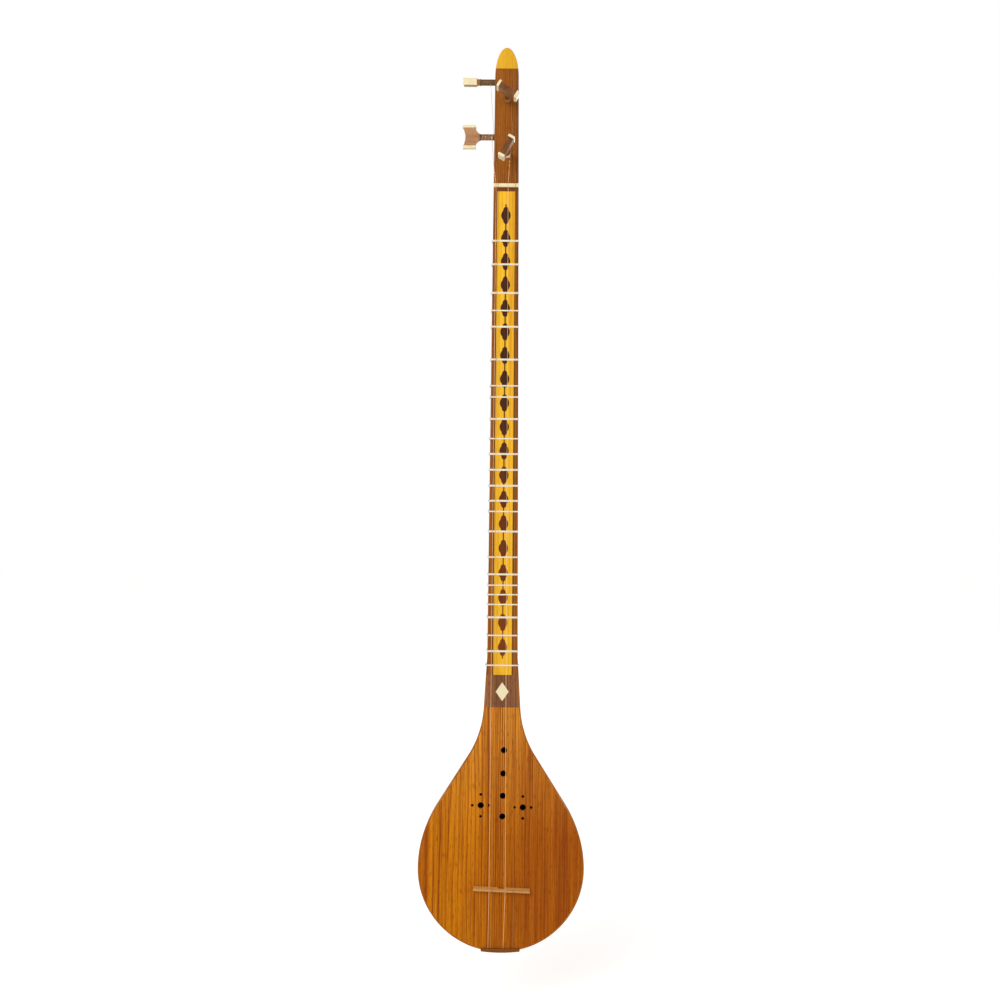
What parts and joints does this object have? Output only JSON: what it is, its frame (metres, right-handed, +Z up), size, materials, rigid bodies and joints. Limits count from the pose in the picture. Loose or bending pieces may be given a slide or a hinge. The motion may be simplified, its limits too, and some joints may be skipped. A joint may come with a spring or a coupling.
{
  "type": "setar",
  "caption": "Long-necked lute with a pear-shaped staved bowl, pierced soundboard, tied gut frets, bone-capped fishtail pegs and wire strings",
  "frame": {"origin": "middle of the neck's face at the nut, where the open strings begin and where a hanger's prongs hold the neck", "axes": "+Z up along the neck towards the head, -Y out of the soundboard towards the player's hand, +X to the right in the face view"},
  "size_m": [0.158, 0.1604, 0.8594],
  "materials": {
    "walnut": "walnut, oiled and rubbed",
    "yellow_wood": "yellow close-grained wood, shellac",
    "dark_inlay": "dark inlay wood, shellac",
    "soundboard_wood": "mulberry, shellac",
    "stave_wood": "mulberry, shellac",
    "block_wood": "unfinished",
    "bridge_wood": "pale hardwood, bare",
    "dark_wood": "dark hardwood, shellac",
    "peg_wood": "pear wood, waxed",
    "bone": "camel bone, polished",
    "gut": "gut, dull",
    "steel_wire": "drawn music wire",
    "brass_wire": "drawn brass wire",
    "bronze_wire": "bronze-wound wire"
  },
  "bodies": {
    "body": {"neck": "walnut", "throat_veneer": "walnut", "finial_cap": "yellow_wood", "fingerboard_panel": "yellow_wood", "medallion_inlay": "dark_inlay", "panel_border": "dark_inlay", "nut_strip": "dark_inlay", "nut": "bone", "diamond_inlay": "bone", "soundboard": "soundboard_wood", "tail_block": "block_wood", "throat_block": "block_wood", "tailpiece": "dark_wood", "bowl_stave_centre": "stave_wood", "bowl_stave_pair_1": "stave_wood", "bowl_stave_pair_2": "stave_wood", "bowl_stave_pair_3": "stave_wood", "bowl_stave_pair_4": "stave_wood", "string_first": "steel_wire", "string_second": "brass_wire", "string_drone": "steel_wire", "string_bass": "bronze_wire"},
    "peg_side_upper_set": {"peg_side_upper": "peg_wood", "peg_side_upper_caps": "bone", "string_drone_turns": "steel_wire"},
    "peg_side_lower_set": {"peg_side_lower": "peg_wood", "peg_side_lower_caps": "bone", "string_bass_turns": "bronze_wire"},
    "peg_front_upper_set": {"peg_front_upper": "peg_wood", "peg_front_upper_caps": "bone", "string_first_turns": "steel_wire"},
    "peg_front_lower_set": {"peg_front_lower": "peg_wood", "peg_front_lower_caps": "bone", "string_second_turns": "brass_wire"},
    "bridge_piece": {"bridge": "bridge_wood"},
    "fret_01_gut": {"fret_01": "gut"},
    "fret_02_gut": {"fret_02": "gut"},
    "fret_03_gut": {"fret_03": "gut"},
    "fret_04_gut": {"fret_04": "gut"},
    "fret_05_gut": {"fret_05": "gut"},
    "fret_06_gut": {"fret_06": "gut"},
    "fret_07_gut": {"fret_07": "gut"},
    "fret_08_gut": {"fret_08": "gut"},
    "fret_09_gut": {"fret_09": "gut"},
    "fret_10_gut": {"fret_10": "gut"},
    "fret_11_gut": {"fret_11": "gut"},
    "fret_12_gut": {"fret_12": "gut"},
    "fret_13_gut": {"fret_13": "gut"},
    "fret_14_gut": {"fret_14": "gut"},
    "fret_15_gut": {"fret_15": "gut"},
    "fret_16_gut": {"fret_16": "gut"},
    "fret_17_gut": {"fret_17": "gut"},
    "fret_18_gut": {"fret_18": "gut"},
    "fret_19_gut": {"fret_19": "gut"},
    "fret_20_gut": {"fret_20": "gut"},
    "fret_21_gut": {"fret_21": "gut"},
    "fret_22_gut": {"fret_22": "gut"},
    "fret_23_gut": {"fret_23": "gut"},
    "fret_24_gut": {"fret_24": "gut"},
    "fret_25_gut": {"fret_25": "gut"}
  },
  "joints": [
    {"name": "peg_side_upper_turn", "type": "hinge", "parent": "body", "child": "peg_side_upper_set", "pos_m": [-0.01122, 0.0075, 0.1003], "axis": [-1, 0, 0], "continuous": true},
    {"name": "peg_side_lower_turn", "type": "hinge", "parent": "body", "child": "peg_side_lower_set", "pos_m": [-0.01158, 0.0075, 0.0479], "axis": [-1, 0, 0], "continuous": true},
    {"name": "peg_front_upper_turn", "type": "hinge", "parent": "body", "child": "peg_front_upper_set", "pos_m": [0.0008, 0, 0.0811], "axis": [0, -1, 0], "continuous": true},
    {"name": "peg_front_lower_turn", "type": "hinge", "parent": "body", "child": "peg_front_lower_set", "pos_m": [0.0008, 0, 0.0285], "axis": [-0.0349, -0.9994, 0], "continuous": true},
    {"name": "bridge_slide", "type": "slide", "parent": "body", "child": "bridge_piece", "axis": [0, 0, 1], "range_m": [-0.002, 0.006]},
    {"name": "fret_01_slide", "type": "slide", "parent": "body", "child": "fret_01_gut", "axis": [0, 0, 1], "range_m": [-0.003, 0.003]},
    {"name": "fret_02_slide", "type": "slide", "parent": "body", "child": "fret_02_gut", "axis": [0, 0, 1], "range_m": [-0.003, 0.003]},
    {"name": "fret_03_slide", "type": "slide", "parent": "body", "child": "fret_03_gut", "axis": [0, 0, 1], "range_m": [-0.003, 0.003]},
    {"name": "fret_04_slide", "type": "slide", "parent": "body", "child": "fret_04_gut", "axis": [0, 0, 1], "range_m": [-0.003, 0.003]},
    {"name": "fret_05_slide", "type": "slide", "parent": "body", "child": "fret_05_gut", "axis": [0, 0, 1], "range_m": [-0.003, 0.003]},
    {"name": "fret_06_slide", "type": "slide", "parent": "body", "child": "fret_06_gut", "axis": [0, 0, 1], "range_m": [-0.003, 0.003]},
    {"name": "fret_07_slide", "type": "slide", "parent": "body", "child": "fret_07_gut", "axis": [0, 0, 1], "range_m": [-0.003, 0.003]},
    {"name": "fret_08_slide", "type": "slide", "parent": "body", "child": "fret_08_gut", "axis": [0, 0, 1], "range_m": [-0.003, 0.003]},
    {"name": "fret_09_slide", "type": "slide", "parent": "body", "child": "fret_09_gut", "axis": [0, 0, 1], "range_m": [-0.003, 0.003]},
    {"name": "fret_10_slide", "type": "slide", "parent": "body", "child": "fret_10_gut", "axis": [0, 0, 1], "range_m": [-0.003, 0.003]},
    {"name": "fret_11_slide", "type": "slide", "parent": "body", "child": "fret_11_gut", "axis": [0, 0, 1], "range_m": [-0.003, 0.003]},
    {"name": "fret_12_slide", "type": "slide", "parent": "body", "child": "fret_12_gut", "axis": [0, 0, 1], "range_m": [-0.003, 0.003]},
    {"name": "fret_13_slide", "type": "slide", "parent": "body", "child": "fret_13_gut", "axis": [0, 0, 1], "range_m": [-0.003, 0.003]},
    {"name": "fret_14_slide", "type": "slide", "parent": "body", "child": "fret_14_gut", "axis": [0, 0, 1], "range_m": [-0.003, 0.003]},
    {"name": "fret_15_slide", "type": "slide", "parent": "body", "child": "fret_15_gut", "axis": [0, 0, 1], "range_m": [-0.003, 0.003]},
    {"name": "fret_16_slide", "type": "slide", "parent": "body", "child": "fret_16_gut", "axis": [0, 0, 1], "range_m": [-0.003, 0.003]},
    {"name": "fret_17_slide", "type": "slide", "parent": "body", "child": "fret_17_gut", "axis": [0, 0, 1], "range_m": [-0.003, 0.003]},
    {"name": "fret_18_slide", "type": "slide", "parent": "body", "child": "fret_18_gut", "axis": [0, 0, 1], "range_m": [-0.003, 0.003]},
    {"name": "fret_19_slide", "type": "slide", "parent": "body", "child": "fret_19_gut", "axis": [0, 0, 1], "range_m": [-0.003, 0.003]},
    {"name": "fret_20_slide", "type": "slide", "parent": "body", "child": "fret_20_gut", "axis": [0, 0, 1], "range_m": [-0.003, 0.003]},
    {"name": "fret_21_slide", "type": "slide", "parent": "body", "child": "fret_21_gut", "axis": [0, 0, 1], "range_m": [-0.003, 0.003]},
    {"name": "fret_22_slide", "type": "slide", "parent": "body", "child": "fret_22_gut", "axis": [0, 0, 1], "range_m": [-0.003, 0.003]},
    {"name": "fret_23_slide", "type": "slide", "parent": "body", "child": "fret_23_gut", "axis": [0, 0, 1], "range_m": [-0.003, 0.003]},
    {"name": "fret_24_slide", "type": "slide", "parent": "body", "child": "fret_24_gut", "axis": [0, 0, 1], "range_m": [-0.003, 0.003]},
    {"name": "fret_25_slide", "type": "slide", "parent": "body", "child": "fret_25_gut", "axis": [0, 0, 1], "range_m": [-0.003, 0.003]}
  ]
}
